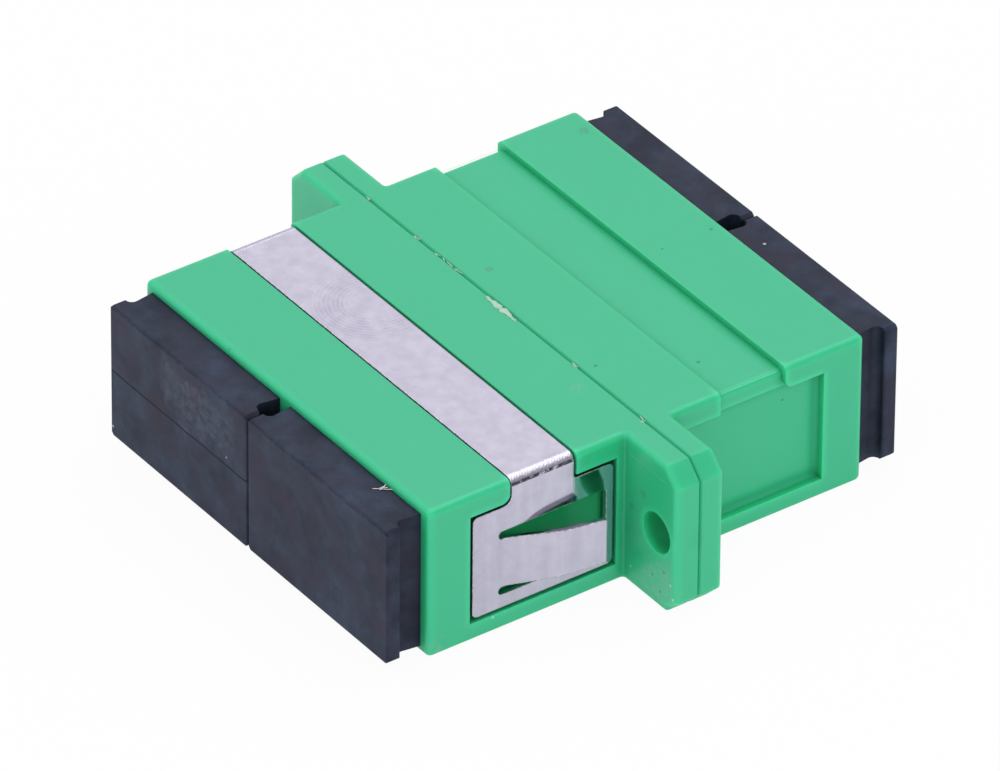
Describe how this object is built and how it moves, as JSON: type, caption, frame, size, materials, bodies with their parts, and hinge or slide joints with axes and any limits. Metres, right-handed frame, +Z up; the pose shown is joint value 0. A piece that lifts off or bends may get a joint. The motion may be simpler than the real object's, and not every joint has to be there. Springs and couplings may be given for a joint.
{
  "type": "sc fibre adapter",
  "caption": "Flanged adapter that joins SC fibre plugs end to end in a panel, with a sprung panel clip and pull-off dust caps.",
  "frame": {"origin": "underside, midway between the two ports, in the weld plane of the two housing halves", "axes": "+Z up through the body, X along the flange across the two ports, Y along the ports; the half with the panel clip is on -Y"},
  "size_m": [0.0352, 0.0328, 0.0093],
  "materials": {
    "housing_green": "fine satin moulded PBT",
    "clip_steel": "bright rolled stainless strip",
    "holder_plastic": "natural moulded PBT",
    "sleeve_zirconia": "polished ceramic",
    "cap_black": "matt moulded polyethylene"
  },
  "bodies": {
    "adapter": {"front_housing": "housing_green", "rear_housing": "housing_green", "panel_clip": "clip_steel", "latch_holder_front_left": "holder_plastic", "latch_holder_front_right": "holder_plastic", "latch_holder_rear_left": "holder_plastic", "latch_holder_rear_right": "holder_plastic", "alignment_sleeve_left": "sleeve_zirconia", "alignment_sleeve_right": "sleeve_zirconia"},
    "dust_cap_front_left": {"dust_cap_front_left": "cap_black"},
    "dust_cap_rear_left": {"dust_cap_rear_left": "cap_black"},
    "dust_cap_front_right": {"dust_cap_front_right": "cap_black"},
    "dust_cap_rear_right": {"dust_cap_rear_right": "cap_black"}
  },
  "joints": [
    {"name": "dust_cap_front_left_pull", "type": "slide", "parent": "adapter", "child": "dust_cap_front_left", "axis": [0, -1, 0], "range_m": [0, 0.02]},
    {"name": "dust_cap_rear_left_pull", "type": "slide", "parent": "adapter", "child": "dust_cap_rear_left", "axis": [0, 1, 0], "range_m": [0, 0.02]},
    {"name": "dust_cap_front_right_pull", "type": "slide", "parent": "adapter", "child": "dust_cap_front_right", "axis": [0, -1, 0], "range_m": [0, 0.02]},
    {"name": "dust_cap_rear_right_pull", "type": "slide", "parent": "adapter", "child": "dust_cap_rear_right", "axis": [0, 1, 0], "range_m": [0, 0.02]}
  ]
}
